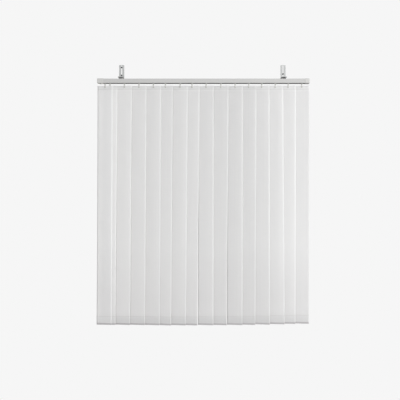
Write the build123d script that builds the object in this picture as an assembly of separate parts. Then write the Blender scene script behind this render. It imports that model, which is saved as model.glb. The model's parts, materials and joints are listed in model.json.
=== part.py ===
from build123d import *
import math
import os

# Vertical blind: fabric vanes hung from travelling carriers in a wall-mounted aluminium headrail.
#
# Frame, in millimetres: the origin is the centre of the left wall bracket's back face.
# The wall is the plane y = 0 with the room on its -Y side, +X runs along the rail and +Z is up.
# The vanes draw to the right-hand end, where the last carrier is fixed.

# ---------------------------------------------------------------- driving sizes
FIT = 0.1                    # running clearance on a radius
PLAY = 0.3                   # clearance between parts that pass each other

# Where things stand along the rail
FIRST_STEM_X = -90.0         # leading vane's hook, drawn out to the left
STEM_GAPS = (28, 83, 84, 83, 69, 85, 68, 81, 85, 82, 78, 75, 78, 74, 78)
RIGHT_BRACKET_X = 939.0      # bracket to bracket
RAIL_LEFT_X = -102.0
RAIL_RIGHT_X = 1063.0

# Headrail extrusion
RAIL_CENTRE_Y = -60.0
RAIL_DEPTH = 42.0
RAIL_HEIGHT = 25.5
RAIL_WALL = 1.4
RAIL_CORNER = 2.5
RAIL_SLOT = 12.0             # slot that the hook stems travel in
TOP_CHANNEL = 1.8            # clear height under the top lips
TOP_LIP = 3.2
TOP_LIP_THICKNESS = 1.2

# Wall brackets
BRACKET_WIDTH = 30.0
BRACKET_RISE = 42.0          # wall leg's top above the origin
BRACKET_DROP = 38.0          # arm's underside below the origin
BRACKET_THICKNESS = 2.0
BRACKET_REACH = 84.0
BRACKET_BEND = 3.0
BRACKET_CORNER = 4.0
BRACKET_SLOT_LENGTH = 72.0
BRACKET_SLOT_Z = 3.0         # middle of the wall slot
BRACKET_SLOT_WIDTH = 5.5
BOLT_SLOT_LENGTH = 30.0

# Wall screws: heights of the screws in each bracket
LEFT_SCREW_Z = (28.5, -18.0)
RIGHT_SCREW_Z = (-10.0,)
SCREW_SHANK_R = 2.0
SCREW_NECK_R = 2.2           # plain neck under the head, through the bracket
SCREW_NECK_REACH = 2.0       # the neck's length in the wall
SCREW_HEAD_R = 4.0
SCREW_HEAD_HEIGHT = 2.4
SCREW_REACH = 35.0           # length in the wall
SCREW_POINT = 4.0
SCREW_RECESS = 1.2

# Rail clips and their bolts
CLIP_THICKNESS = 1.0
CLIP_HEIGHT = 9.5            # from the rail's top to the bracket
CLIP_FOOT_X = 18.0           # half length over the feet
CLIP_WAIST_X = 13.0          # half length where the feet turn up
CLIP_TOP_X = 6.0             # half length at the bracket
CLIP_LEG_WIDTH = 30.0
CLIP_TAB_X = 24.0
CLIP_TAB_WIDTH = 8.0
BOLT_R = 2.0
BOLT_FLATS = 7.0
BOLT_HEAD_HEIGHT = 2.8
NUT_HEIGHT = 3.2
BOLT_SPARE = 0.8             # thread that shows under the nut

# End caps
CAP_SKIN = 1.2               # the cap's rim stands proud of the rail by this
CAP_OVERLAP = 4.0            # the rim's grip on the rail
CONTROL_CAP_LENGTH = 32.0    # beyond the rail's end
PLAIN_CAP_LENGTH = 23.0
CAP_END_WALL = 2.0
CAP_FLOOR = 2.0
CONTROL_CAP_EDGE = 2.0
PLAIN_CAP_EDGE = 5.0
TONGUE_LENGTH = 15.0
TONGUE_THICKNESS = 4.0
OUTLET_LENGTH = 10.0
CORD_OUTLET_WIDTH = 10.0

# Tilt rod, worm and gear
GEAR_TEETH = 10
GEAR_PITCH_R = 5.5
GEAR_THICKNESS = 3.4
WORM_PITCH_R = 5.0
TOOTH_ADDENDUM = 0.75        # outside the pitch line
TOOTH_DEDENDUM = 1.1         # inside the pitch line
WORM_THREAD_LENGTH = 10.5
TOOTH_THICKNESS = 1.15       # of the gear's teeth and the worm's thread at their pitch lines
TOOTH_SLOPE = math.radians(20)
ROD_R = 2.6
ROD_GROOVES = 4
GROOVE_R = 0.6
KEY_R = 0.42                 # ribs in the worm's bore that ride in the rod's grooves
ROD_AXIS_ABOVE_FLOOR = 10.6  # above the rail's inner floor

# Carriers
CARRIER_LENGTH = 16.0
CARRIER_HEIGHT = 19.0
CARRIER_WALL = 1.3
CARRIER_LIFT = 0.15          # running gap above the rail's floor
NECK_R = 5.4
NECK_BELOW_RAIL = 1.0
CORD_HOLE_R = 1.2
CORD_RISE = 2.45             # cord above the carrier's underside
STRIP_THICKNESS = 0.5
STRIP_HEIGHT = 6.0
STRIP_PITCH = 0.8
STRIP_LANES = 5
STRIP_PAST = 6.0             # how far a strip reaches past the middle of the next carrier
STRIP_TAB = 1.5
TROUGH_MARGIN = 0.8
TROUGH_DEPTH = 11.5

# Hook stems
STEM_R = 2.9
BLADE_WIDTH = 7.0
BLADE_THICKNESS = 2.6
HOOK_LEG = 1.1
HOOK_LENGTH = 12.5           # the legs' reach down the vane
PEG_HEIGHT = 3.0
PEG_WIDTH = 3.6
PEG_DROP = 6.0               # top of the peg below the top of the vane

# Vanes
VANE_ANGLE = 12.0            # angle between a closed vane and the rail
VANE_WIDTH = 89.0
VANE_LENGTH = 1372.0
VANE_BELOW_RAIL = 14.0
CLOTH = 0.4
POCKET_THICKNESS = 2.6
TOP_POCKET = 19.5
BOTTOM_POCKET = 48.0
HANGER_WIDTH = 80.0
HANGER_HEIGHT = 17.5
HANGER_THICKNESS = 1.5
WEIGHT_WIDTH = 84.0
WEIGHT_HEIGHT = 38.0
WEIGHT_THICKNESS = 1.6
WEIGHT_CORNER = 4.0
EYE_WIDTH = 5.0

# Chain wheel and cord pulley
WHEEL_R = 8.5
WHEEL_WIDTH = 10.0
WHEEL_JOURNAL_R = 4.0
WHEEL_GROOVE = 1.6
BEAD_R = 2.3
BEAD_POCKETS = 8
BOSS_WALL = 2.4
BOSS_DEPTH = 4.0
PULLEY_PITCH_R = 7.6
PULLEY_FLANGE_R = 9.0
PULLEY_THICKNESS = 4.8
PULLEY_PIN_R = 1.9

# ---------------------------------------------------------------- sizes that follow
STEM_X = [FIRST_STEM_X + sum(STEM_GAPS[:i]) for i in range(len(STEM_GAPS) + 1)]

CLIP_TOP_Z = -BRACKET_DROP
RAIL_TOP = CLIP_TOP_Z - CLIP_HEIGHT
RAIL_BOTTOM = RAIL_TOP - RAIL_HEIGHT
RAIL_FLOOR = RAIL_BOTTOM + RAIL_WALL
RAIL_FRONT = RAIL_CENTRE_Y - RAIL_DEPTH / 2
RAIL_BACK = RAIL_CENTRE_Y + RAIL_DEPTH / 2
LIP_UNDER = RAIL_TOP - TOP_LIP_THICKNESS
WEB_TOP = LIP_UNDER - TOP_CHANNEL
WEB_UNDER = WEB_TOP - RAIL_WALL

ROD_Y = RAIL_CENTRE_Y - GEAR_PITCH_R - WORM_PITCH_R
ROD_Z = RAIL_FLOOR + ROD_AXIS_ABOVE_FLOOR
THREAD_LEAD = 2 * math.pi * GEAR_PITCH_R / GEAR_TEETH
GEAR_TIP_R = GEAR_PITCH_R + TOOTH_ADDENDUM
GEAR_ROOT_R = GEAR_PITCH_R - TOOTH_DEDENDUM
WORM_TIP_R = WORM_PITCH_R + TOOTH_ADDENDUM
WORM_ROOT_R = WORM_PITCH_R - TOOTH_DEDENDUM

CHAMBER_R = WORM_TIP_R + PLAY + FIT
GEAR_CHAMBER_R = GEAR_TIP_R + PLAY + FIT
CARRIER_BOTTOM = RAIL_FLOOR + CARRIER_LIFT
CARRIER_TOP = CARRIER_BOTTOM + CARRIER_HEIGHT
CARRIER_FRONT = ROD_Y - CHAMBER_R - CARRIER_WALL
GEAR_UNDER = ROD_Z - GEAR_THICKNESS / 2
GEAR_SEAT = GEAR_UNDER - FIT
NECK_BOTTOM = RAIL_BOTTOM - NECK_BELOW_RAIL
TROUGH_FRONT = RAIL_CENTRE_Y + GEAR_CHAMBER_R + CARRIER_WALL
LANE_1 = TROUGH_FRONT + TROUGH_MARGIN
TROUGH_BACK = LANE_1 + (STRIP_LANES - 1) * STRIP_PITCH + TROUGH_MARGIN
CARRIER_BACK = TROUGH_BACK + CARRIER_WALL
TROUGH_FLOOR = CARRIER_TOP - TROUGH_DEPTH
STRIP_BOTTOM = TROUGH_FLOOR + PLAY
CORD_Z = CARRIER_BOTTOM + CORD_RISE
PULLEY_Y = RAIL_CENTRE_Y + PULLEY_FLANGE_R - PULLEY_PITCH_R - PLAY - FIT

VANE_TOP = RAIL_BOTTOM - VANE_BELOW_RAIL
VANE_BOTTOM = VANE_TOP - VANE_LENGTH
HOOK_GAP = POCKET_THICKNESS + 2 * PLAY
HOOK_THICKNESS = HOOK_GAP + 2 * HOOK_LEG
PEG_TOP = VANE_TOP - PEG_DROP

CONTROL_END_X = RAIL_LEFT_X - CONTROL_CAP_LENGTH
PLAIN_END_X = RAIL_RIGHT_X + PLAIN_CAP_LENGTH
WHEEL_X = (CONTROL_END_X + RAIL_LEFT_X) / 2 + PLAY


# ---------------------------------------------------------------- small helpers
def block(x0, x1, y0, y1, z0, z1):
    """A box between two corners."""
    return Pos((x0 + x1) / 2, (y0 + y1) / 2, (z0 + z1) / 2) * Box(x1 - x0, y1 - y0, z1 - z0)


def round_x(r, x0, x1, y, z):
    """A cylinder along X."""
    return Pos((x0 + x1) / 2, y, z) * Rot(0, 90, 0) * Cylinder(r, x1 - x0)


def round_y(r, x, y0, y1, z):
    """A cylinder along Y."""
    return Pos(x, (y0 + y1) / 2, z) * Rot(90, 0, 0) * Cylinder(r, y1 - y0)


def round_z(r, x, y, z0, z1):
    """A cylinder along Z."""
    return Pos(x, y, (z0 + z1) / 2) * Cylinder(r, z1 - z0)


def area(y0, y1, z0, z1):
    """A flat rectangle in a Y-Z section."""
    return Pos((y0 + y1) / 2, (z0 + z1) / 2) * Rectangle(y1 - y0, z1 - z0)


def save(node, *solids):
    """Writes one sub-part, which may be a group of separate solids."""
    shape = solids[0] if len(solids) == 1 else Compound(children=list(solids))
    export_step(shape, os.path.join("parts", node + ".step"))


# ---------------------------------------------------------------- headrail and end caps
def headrail():
    """The extruded channel: closed front and back, slotted underneath, lipped on top for the clips."""
    section = Pos(RAIL_CENTRE_Y, (RAIL_TOP + RAIL_BOTTOM) / 2) * RectangleRounded(
        RAIL_DEPTH, RAIL_HEIGHT, RAIL_CORNER
    )
    inner_front = RAIL_FRONT + RAIL_WALL
    inner_back = RAIL_BACK - RAIL_WALL
    section -= area(inner_front, inner_back, RAIL_FLOOR, WEB_UNDER)
    section -= area(inner_front, inner_back, WEB_TOP, LIP_UNDER)
    section -= area(inner_front + TOP_LIP, inner_back - TOP_LIP, WEB_TOP, RAIL_TOP + 1)
    half_slot = RAIL_SLOT / 2
    section -= area(RAIL_CENTRE_Y - half_slot, RAIL_CENTRE_Y + half_slot, RAIL_BOTTOM - 1, RAIL_FLOOR + 1)
    return extrude(Plane.YZ.offset(RAIL_LEFT_X) * section, RAIL_RIGHT_X - RAIL_LEFT_X)


def cap_shell(end_x, rail_x, edge):
    """A cup over one end of the rail: closed outside, with a rim that grips the rail."""
    inward = 1 if rail_x > end_x else -1
    rim_x = rail_x + inward * CAP_OVERLAP
    front, back = RAIL_FRONT - CAP_SKIN, RAIL_BACK + CAP_SKIN
    bottom, top = RAIL_BOTTOM - CAP_SKIN, RAIL_TOP + CAP_SKIN
    x0, x1 = sorted((end_x, rim_x))
    shell = block(x0, x1, front, back, bottom, top)
    shell = fillet(shell.edges().filter_by(Axis.X), RAIL_CORNER + CAP_SKIN)
    outer_face = shell.faces().sort_by(Axis.X)[0 if inward > 0 else -1]
    shell = fillet(outer_face.edges(), edge)
    x0, x1 = sorted((rail_x, rim_x + inward))
    shell -= block(x0, x1, RAIL_FRONT - FIT, RAIL_BACK + FIT, RAIL_BOTTOM - FIT, RAIL_TOP + FIT)
    x0, x1 = sorted((end_x + inward * CAP_END_WALL, rail_x + inward))
    floor = bottom + CAP_FLOOR
    shell -= block(x0, x1, front + CAP_FLOOR, back - CAP_FLOOR, floor, top - CAP_FLOOR)
    return shell


def cap_tongue(rail_x, inward):
    """The tongue that plugs into the rail beside the carriers."""
    x0, x1 = sorted((rail_x - inward * CAP_OVERLAP, rail_x + inward * TONGUE_LENGTH))
    root_x0, root_x1 = sorted((rail_x - inward * CAP_OVERLAP, rail_x))
    back = RAIL_BACK - RAIL_WALL - FIT
    low, high = RAIL_FLOOR + FIT, WEB_UNDER - FIT
    tongue = block(x0, x1, back - TONGUE_THICKNESS, back, low, high)
    return tongue + block(root_x0, root_x1, back - FIT, RAIL_BACK, low, high)


def control_end_cap():
    """The end that holds the chain wheel, with outlets for the bead chain and the draw cords."""
    cap = cap_shell(CONTROL_END_X, RAIL_LEFT_X, CONTROL_CAP_EDGE)
    wall_x = CONTROL_END_X + CAP_END_WALL
    boss_r = WHEEL_JOURNAL_R + BOSS_WALL
    cap += round_x(boss_r, wall_x - 1, wall_x + BOSS_DEPTH, ROD_Y, ROD_Z)
    web_x = RAIL_LEFT_X - CAP_OVERLAP
    web_front = RAIL_FRONT
    web_back = ROD_Y + boss_r + BOSS_WALL
    cap += block(web_x - CAP_FLOOR, web_x, web_front, web_back, RAIL_BOTTOM, ROD_Z)
    cap += cap_tongue(RAIL_LEFT_X, 1)
    bearing_r = WHEEL_JOURNAL_R + FIT
    cap -= round_x(bearing_r, wall_x, web_x + 1, ROD_Y, ROD_Z)
    half = OUTLET_LENGTH / 2
    outlet_front = RAIL_FRONT + RAIL_WALL
    cap -= block(WHEEL_X - half, WHEEL_X + half, outlet_front, ROD_Y + WHEEL_R + PLAY,
                 RAIL_BOTTOM - CAP_SKIN - 1, RAIL_FLOOR)
    cap -= block(WHEEL_X - half, WHEEL_X + half, RAIL_CENTRE_Y + half, RAIL_CENTRE_Y + half + CORD_OUTLET_WIDTH,
                 RAIL_BOTTOM - CAP_SKIN - 1, RAIL_FLOOR)
    return cap


def plain_end_cap():
    """The far end, which carries the tilt rod's end and the cord pulley's pin."""
    cap = cap_shell(PLAIN_END_X, RAIL_RIGHT_X, PLAIN_CAP_EDGE)
    wall_x = PLAIN_END_X - CAP_END_WALL
    boss_r = ROD_R + BOSS_WALL
    cap += round_x(boss_r, wall_x - BOSS_DEPTH, wall_x + 1, ROD_Y, ROD_Z)
    cap -= round_x(ROD_R + FIT, wall_x - BOSS_DEPTH - 1, wall_x, ROD_Y, ROD_Z)
    pin_x, pin_top = pulley_place()
    cap += round_z(PULLEY_PIN_R, pin_x, PULLEY_Y, RAIL_BOTTOM, pin_top + PLAY)
    return cap + cap_tongue(RAIL_RIGHT_X, -1)


# ---------------------------------------------------------------- wall brackets, clips and fasteners
def wall_bracket(x):
    """A pressed steel angle: slotted leg on the wall, slotted arm over the rail."""
    height = BRACKET_RISE + BRACKET_DROP
    middle = (BRACKET_RISE - BRACKET_DROP) / 2
    outline = Pos(-BRACKET_REACH / 2, middle) * Rectangle(BRACKET_REACH, height)
    outline -= Pos(-BRACKET_REACH / 2 - BRACKET_THICKNESS, middle + BRACKET_THICKNESS) * Rectangle(
        BRACKET_REACH, height
    )
    angle = extrude(Plane.YZ.offset(x - BRACKET_WIDTH / 2) * outline, BRACKET_WIDTH)
    bends = angle.edges().filter_by(Axis.X)
    heel = bends.sort_by_distance((x, 0, -BRACKET_DROP))[0]
    angle = fillet(heel, BRACKET_BEND)
    inner_bend = (x, -BRACKET_THICKNESS, -BRACKET_DROP + BRACKET_THICKNESS)
    angle = fillet(angle.edges().filter_by(Axis.X).sort_by_distance(inner_bend)[0],
                   BRACKET_BEND - BRACKET_THICKNESS)
    top_corners = angle.edges().filter_by(Axis.Y).group_by(Axis.Z)[-1]
    angle = fillet(top_corners, BRACKET_CORNER)
    tip_corners = angle.edges().filter_by(Axis.Z).group_by(Axis.Y)[0]
    angle = fillet(tip_corners, BRACKET_CORNER)
    wall_slot = Plane.XZ.offset(-1) * (
        Pos(x, BRACKET_SLOT_Z) * Rot(0, 0, 90) * SlotOverall(BRACKET_SLOT_LENGTH, BRACKET_SLOT_WIDTH)
    )
    angle -= extrude(wall_slot, BRACKET_THICKNESS + 2)
    bolt_slot = Plane.XY.offset(-BRACKET_DROP - 1) * (
        Pos(x, RAIL_CENTRE_Y) * Rot(0, 0, 90) * SlotOverall(BOLT_SLOT_LENGTH, BRACKET_SLOT_WIDTH)
    )
    return angle - extrude(bolt_slot, BRACKET_THICKNESS + 2)


def rail_clip(x, tab_side):
    """A spring clip: feet under the rail's lips, raised middle against the bracket, release tab at one side."""
    foot_top = LIP_UNDER - (TOP_CHANNEL - CLIP_THICKNESS) / 2
    foot_under = foot_top - CLIP_THICKNESS
    hat = Polygon(
        (-CLIP_FOOT_X, foot_under),
        (-CLIP_WAIST_X + CLIP_THICKNESS, foot_under),
        (-CLIP_TOP_X + CLIP_THICKNESS, CLIP_TOP_Z - CLIP_THICKNESS),
        (CLIP_TOP_X - CLIP_THICKNESS, CLIP_TOP_Z - CLIP_THICKNESS),
        (CLIP_WAIST_X - CLIP_THICKNESS, foot_under),
        (CLIP_FOOT_X, foot_under),
        (CLIP_FOOT_X, foot_top),
        (CLIP_WAIST_X, foot_top),
        (CLIP_TOP_X, CLIP_TOP_Z),
        (-CLIP_TOP_X, CLIP_TOP_Z),
        (-CLIP_WAIST_X, foot_top),
        (-CLIP_FOOT_X, foot_top),
        align=None,
    )
    front = RAIL_CENTRE_Y - CLIP_LEG_WIDTH / 2
    clip = extrude(Plane.XZ.offset(-front) * hat, -CLIP_LEG_WIDTH)
    inner_width = RAIL_DEPTH - 2 * RAIL_WALL - 2 * PLAY
    for side in (-1, 1):
        x0, x1 = sorted((side * CLIP_WAIST_X, side * CLIP_FOOT_X))
        clip += block(x0, x1, RAIL_CENTRE_Y - inner_width / 2, RAIL_CENTRE_Y + inner_width / 2,
                      foot_under, foot_top)
    rise = (CLIP_TAB_X - CLIP_FOOT_X) * 0.8
    tab = Polygon(
        (CLIP_FOOT_X - 1, foot_under),
        (CLIP_FOOT_X, foot_under),
        (CLIP_TAB_X, foot_under + rise),
        (CLIP_TAB_X, foot_top + rise),
        (CLIP_FOOT_X - 1, foot_top),
        align=None,
    )
    tab_front = RAIL_CENTRE_Y - CLIP_TAB_WIDTH / 2
    lever = extrude(Plane.XZ.offset(-tab_front) * tab, -CLIP_TAB_WIDTH)
    if tab_side < 0:
        lever = mirror(lever, about=Plane.YZ)
    clip += lever
    clip -= round_z(BOLT_R + FIT, 0, RAIL_CENTRE_Y, CLIP_TOP_Z - 2 * CLIP_THICKNESS, CLIP_TOP_Z + 1)
    return Pos(x, 0, 0) * clip


def hexagon(x, z0, z1):
    """A hexagonal head or nut over the rail's centre line."""
    shape = RegularPolygon(BOLT_FLATS / 2, 6, major_radius=False)
    return extrude(Plane.XY.offset(z0) * (Pos(x, RAIL_CENTRE_Y) * shape), z1 - z0)


def clip_bolt(x):
    """The bolt that holds a clip under its bracket's arm, and its nut."""
    arm_top = CLIP_TOP_Z + BRACKET_THICKNESS
    nut_top = CLIP_TOP_Z - CLIP_THICKNESS
    tip = nut_top - NUT_HEIGHT - BOLT_SPARE
    bolt = hexagon(x, arm_top, arm_top + BOLT_HEAD_HEIGHT)
    bolt += round_z(BOLT_R, x, RAIL_CENTRE_Y, tip, arm_top + 1)
    nut = hexagon(x, nut_top - NUT_HEIGHT, nut_top)
    nut -= round_z(BOLT_R + FIT, x, RAIL_CENTRE_Y, tip, nut_top + 1)
    return bolt, nut


def wall_screw(x, z):
    """A pan-head screw through the bracket's slot into the wall."""
    seat = -BRACKET_THICKNESS
    head = round_y(SCREW_HEAD_R, x, seat - SCREW_HEAD_HEIGHT, seat, z)
    rim = head.edges().filter_by(GeomType.CIRCLE).sort_by(Axis.Y)[0]
    head = fillet(rim, SCREW_HEAD_HEIGHT / 2)
    straight = SCREW_REACH - SCREW_POINT
    screw = head + round_y(SCREW_NECK_R, x, seat - 1, SCREW_NECK_REACH, z)
    screw += round_y(SCREW_SHANK_R, x, seat, straight, z)
    point = Pos(x, straight + SCREW_POINT / 2, z) * Rot(-90, 0, 0) * Cone(SCREW_SHANK_R, 0, SCREW_POINT)
    screw += point
    face = seat - SCREW_HEAD_HEIGHT
    arm = SCREW_HEAD_R * 0.55
    blade = SCREW_RECESS / 3
    screw -= block(x - arm, x + arm, face - 1, face + SCREW_RECESS, z - blade, z + blade)
    screw -= block(x - blade, x + blade, face - 1, face + SCREW_RECESS, z - arm, z + arm)
    return screw


# ---------------------------------------------------------------- tilt rod, chain wheel and pulley
def rod_section(r, groove_r):
    """A round section with lengthwise grooves."""
    section = Circle(r)
    for i in range(ROD_GROOVES):
        section -= Rot(0, 0, 360 / ROD_GROOVES * i) * Pos(r, 0) * Circle(groove_r)
    return section


def along_x(section, x0, x1):
    """Extrudes a section, drawn about the tilt rod's axis, from x0 to x1."""
    return extrude(Plane.YZ.offset(x0) * (Pos(ROD_Y, ROD_Z) * section), x1 - x0)


def rod_ends():
    """Where the tilt rod starts, in the chain wheel, and ends, in the plain cap."""
    return CONTROL_END_X + CAP_END_WALL + BOSS_DEPTH, PLAIN_END_X - CAP_END_WALL - FIT


def tilt_rod():
    """The grooved rod that turns every worm."""
    x0, x1 = rod_ends()
    return along_x(rod_section(ROD_R, GROOVE_R), x0, x1)


def chain_wheel():
    """The bead chain's pocketed wheel, with a journal at each side."""
    half = WHEEL_WIDTH / 2
    left = CONTROL_END_X + CAP_END_WALL + FIT
    right = RAIL_LEFT_X - CAP_OVERLAP + PLAY
    wheel = round_x(WHEEL_R, WHEEL_X - half, WHEEL_X + half, ROD_Y, ROD_Z)
    wheel -= Pos(WHEEL_X, ROD_Y, ROD_Z) * Rot(0, 90, 0) * Torus(WHEEL_R, WHEEL_GROOVE)
    wheel += round_x(WHEEL_JOURNAL_R, left, right, ROD_Y, ROD_Z)
    for i in range(BEAD_POCKETS):
        turn = math.radians(360 / BEAD_POCKETS * i)
        y = ROD_Y + WHEEL_R * math.cos(turn)
        z = ROD_Z + WHEEL_R * math.sin(turn)
        wheel -= Pos(WHEEL_X, y, z) * Sphere(BEAD_R)
    wheel -= round_x(ROD_R + FIT, rod_ends()[0], right + 1, ROD_Y, ROD_Z)
    return wheel


def pulley_place():
    """The pulley pin's X, and the height of the pulley's top."""
    pin_x = RAIL_RIGHT_X + PLAY + PULLEY_FLANGE_R + FIT
    return pin_x, CORD_Z + PULLEY_THICKNESS / 2


def cord_pulley():
    """The grooved pulley that turns the draw cord back at the plain end."""
    pin_x, top = pulley_place()
    bottom = top - PULLEY_THICKNESS
    pulley = round_z(PULLEY_FLANGE_R, pin_x, PULLEY_Y, bottom, top)
    pulley -= Pos(pin_x, PULLEY_Y, CORD_Z) * Torus(PULLEY_FLANGE_R, PULLEY_FLANGE_R - PULLEY_PITCH_R)
    return pulley - round_z(PULLEY_PIN_R + FIT, pin_x, PULLEY_Y, bottom - 1, top + 1)


# ---------------------------------------------------------------- carriers and worms
def lane_y(i):
    """The lane in the troughs that carrier i's spacer strip lies in."""
    return LANE_1 + (i % STRIP_LANES) * STRIP_PITCH


def carrier(i):
    """A moulded carrier: worm chamber in front, gear chamber in the middle, strip trough behind."""
    x = STEM_X[i]
    half = CARRIER_LENGTH / 2
    over = CARRIER_TOP + 1
    body = block(x - half, x + half, CARRIER_FRONT, CARRIER_BACK, CARRIER_BOTTOM, CARRIER_TOP)
    body += round_z(NECK_R, x, RAIL_CENTRE_Y, NECK_BOTTOM, CARRIER_BOTTOM + 1)
    inner = half - CARRIER_WALL - FIT
    body -= round_x(CHAMBER_R, x - inner, x + inner, ROD_Y, ROD_Z)
    body -= block(x - inner, x + inner, ROD_Y - CHAMBER_R, ROD_Y + CHAMBER_R, ROD_Z, over)
    seat_r = WORM_ROOT_R + FIT
    body -= round_x(seat_r, x - half - 1, x + half + 1, ROD_Y, ROD_Z)
    body -= block(x - half - 1, x + half + 1, ROD_Y - seat_r, ROD_Y + seat_r, ROD_Z, over)
    body -= round_z(GEAR_CHAMBER_R, x, RAIL_CENTRE_Y, GEAR_SEAT, over)
    body -= round_z(STEM_R + FIT, x, RAIL_CENTRE_Y, NECK_BOTTOM - 1, GEAR_SEAT + 1)
    body -= block(x - half - 1, x + half + 1, TROUGH_FRONT, TROUGH_BACK, TROUGH_FLOOR, over)
    for y in (PULLEY_Y - PULLEY_PITCH_R, PULLEY_Y + PULLEY_PITCH_R):
        body -= round_x(CORD_HOLE_R, x - half - 1, x + half + 1, y, CORD_Z)
    if i == 0:
        return (body,)
    y = lane_y(i)
    tab = STRIP_HEIGHT / 2
    thick = STRIP_THICKNESS / 2
    body -= block(x - tab - FIT, x + tab + FIT, y - thick - FIT / 2, y + thick + FIT / 2,
                  TROUGH_FLOOR - STRIP_TAB - FIT, TROUGH_FLOOR + 1)
    strip_end = STEM_X[i - 1] - STRIP_PAST
    strip = block(strip_end, x + half - 1, y - thick, y + thick, STRIP_BOTTOM, STRIP_BOTTOM + STRIP_HEIGHT)
    strip = fillet(strip.edges().filter_by(Axis.Y), STRIP_HEIGHT / 4)
    strip += block(x - tab, x + tab, y - thick, y + thick, TROUGH_FLOOR - STRIP_TAB, STRIP_BOTTOM + 1)
    return body, strip


def worm_thread():
    """One start of right-hand thread about the X axis, with a gap at x = 0 on its +Y side."""
    half_tip = TOOTH_THICKNESS / 2 - (WORM_TIP_R - WORM_PITCH_R) * math.tan(TOOTH_SLOPE)
    base_r = WORM_ROOT_R - 0.3
    half_base = TOOTH_THICKNESS / 2 + (WORM_PITCH_R - base_r) * math.tan(TOOTH_SLOPE)
    start = -WORM_THREAD_LENGTH / 2
    helix = Helix(THREAD_LEAD, WORM_THREAD_LENGTH, WORM_PITCH_R, center=(0, 0, start))
    profile = Polygon(
        (base_r, -half_base), (WORM_TIP_R, -half_tip), (WORM_TIP_R, half_tip), (base_r, half_base),
        align=None,
    )
    thread = sweep(Plane.XZ * (Pos(0, start) * profile), path=helix, is_frenet=True)
    turns_to_middle = WORM_THREAD_LENGTH / 2 / THREAD_LEAD
    crest_angle = 360 * (turns_to_middle + 0.5)
    # Turned about its own axis so that a gap faces the gear, then laid along X.
    return Rot(0, 90, 0) * Rot(0, 0, 90 - crest_angle) * thread


def worm(i):
    """The worm that rides on the tilt rod inside carrier i."""
    x = STEM_X[i]
    half = CARRIER_LENGTH / 2 - FIT
    body = round_x(WORM_ROOT_R, x - half, x + half, ROD_Y, ROD_Z)
    body += Pos(x, ROD_Y, ROD_Z) * worm_thread()
    return body - along_x(rod_section(ROD_R + FIT, KEY_R), x - half - 1, x + half + 1)


# ---------------------------------------------------------------- hook stems and vanes
def gear():
    """The stem's gear, with one tooth pointing at the worm."""
    outline = Circle(GEAR_ROOT_R)
    spread = (GEAR_PITCH_R - GEAR_ROOT_R + 0.3) * math.tan(TOOTH_SLOPE)
    narrow = (GEAR_TIP_R - GEAR_PITCH_R) * math.tan(TOOTH_SLOPE)
    base = TOOTH_THICKNESS / 2 + spread
    tip = TOOTH_THICKNESS / 2 - narrow
    root_x = GEAR_ROOT_R - 0.3
    tooth = Polygon((root_x, -base), (GEAR_TIP_R, -tip), (GEAR_TIP_R, tip), (root_x, base), align=None)
    for i in range(GEAR_TEETH):
        outline += Rot(0, 0, 360 / GEAR_TEETH * i - 90) * tooth
    return extrude(Plane.XY.offset(GEAR_UNDER) * outline, GEAR_THICKNESS)


def hook_stem():
    """The gear, its shaft and the hook, moulded as one: the hook's legs straddle the vane."""
    blade_top = NECK_BOTTOM - 1
    crotch = VANE_TOP + PLAY
    low = VANE_TOP - HOOK_LENGTH
    half_w = BLADE_WIDTH / 2
    half_t = BLADE_THICKNESS / 2
    half_hook = HOOK_THICKNESS / 2
    half_gap = HOOK_GAP / 2
    shoulder = crotch + BLADE_THICKNESS
    hook = block(-half_w, half_w, -half_t, half_t, crotch, blade_top)
    hook += block(-half_w, half_w, -half_hook, half_hook, low, shoulder)
    hook -= block(-half_w - 1, half_w + 1, -half_gap, half_gap, low - 1, crotch)
    hook += block(-PEG_WIDTH / 2, PEG_WIDTH / 2, -half_hook + 0.5, half_gap - PLAY, PEG_TOP - PEG_HEIGHT, PEG_TOP)
    tips = hook.edges().filter_by(Axis.Y).group_by(Axis.Z)[0]
    hook = fillet(tips, BLADE_WIDTH / 4)
    shaft = round_z(STEM_R, 0, 0, blade_top - 2, GEAR_UNDER + 1)
    return gear(), shaft, hook


def eye(depth):
    """The opening in the vane's top that the hook's peg goes through."""
    low = PEG_TOP - PEG_HEIGHT - 2 * PLAY
    half = EYE_WIDTH / 2
    return block(-half, half, -depth, depth, low, PEG_TOP + PLAY)


def vane_cloth():
    """The fabric, with a pocket at the top for the hanger and one at the bottom for the weight."""
    half_w = VANE_WIDTH / 2
    half_c = CLOTH / 2
    half_p = POCKET_THICKNESS / 2
    cloth = block(-half_w, half_w, -half_c, half_c, VANE_BOTTOM, VANE_TOP)
    pockets = ((VANE_TOP - TOP_POCKET, VANE_TOP), (VANE_BOTTOM, VANE_BOTTOM + BOTTOM_POCKET))
    for low, high in pockets:
        cloth += block(-half_w, half_w, -half_p, half_p, low, high)
    for low, high in pockets:
        cloth -= block(-half_w - 1, half_w + 1, CLOTH - half_p, half_p - CLOTH, low + CLOTH, high - CLOTH)
    return cloth - eye(POCKET_THICKNESS)


def hanger():
    """The plastic stiffener in the top pocket."""
    high = VANE_TOP - CLOTH - FIT
    plate = block(-HANGER_WIDTH / 2, HANGER_WIDTH / 2, -HANGER_THICKNESS / 2, HANGER_THICKNESS / 2,
                  high - HANGER_HEIGHT, high)
    return plate - eye(HANGER_THICKNESS)


def bottom_weight():
    """The weight that lies in the bottom pocket."""
    low = VANE_BOTTOM + CLOTH + FIT
    plate = block(-WEIGHT_WIDTH / 2, WEIGHT_WIDTH / 2, -WEIGHT_THICKNESS / 2, WEIGHT_THICKNESS / 2,
                  low, low + WEIGHT_HEIGHT)
    return fillet(plate.edges().filter_by(Axis.Y), WEIGHT_CORNER)


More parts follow.
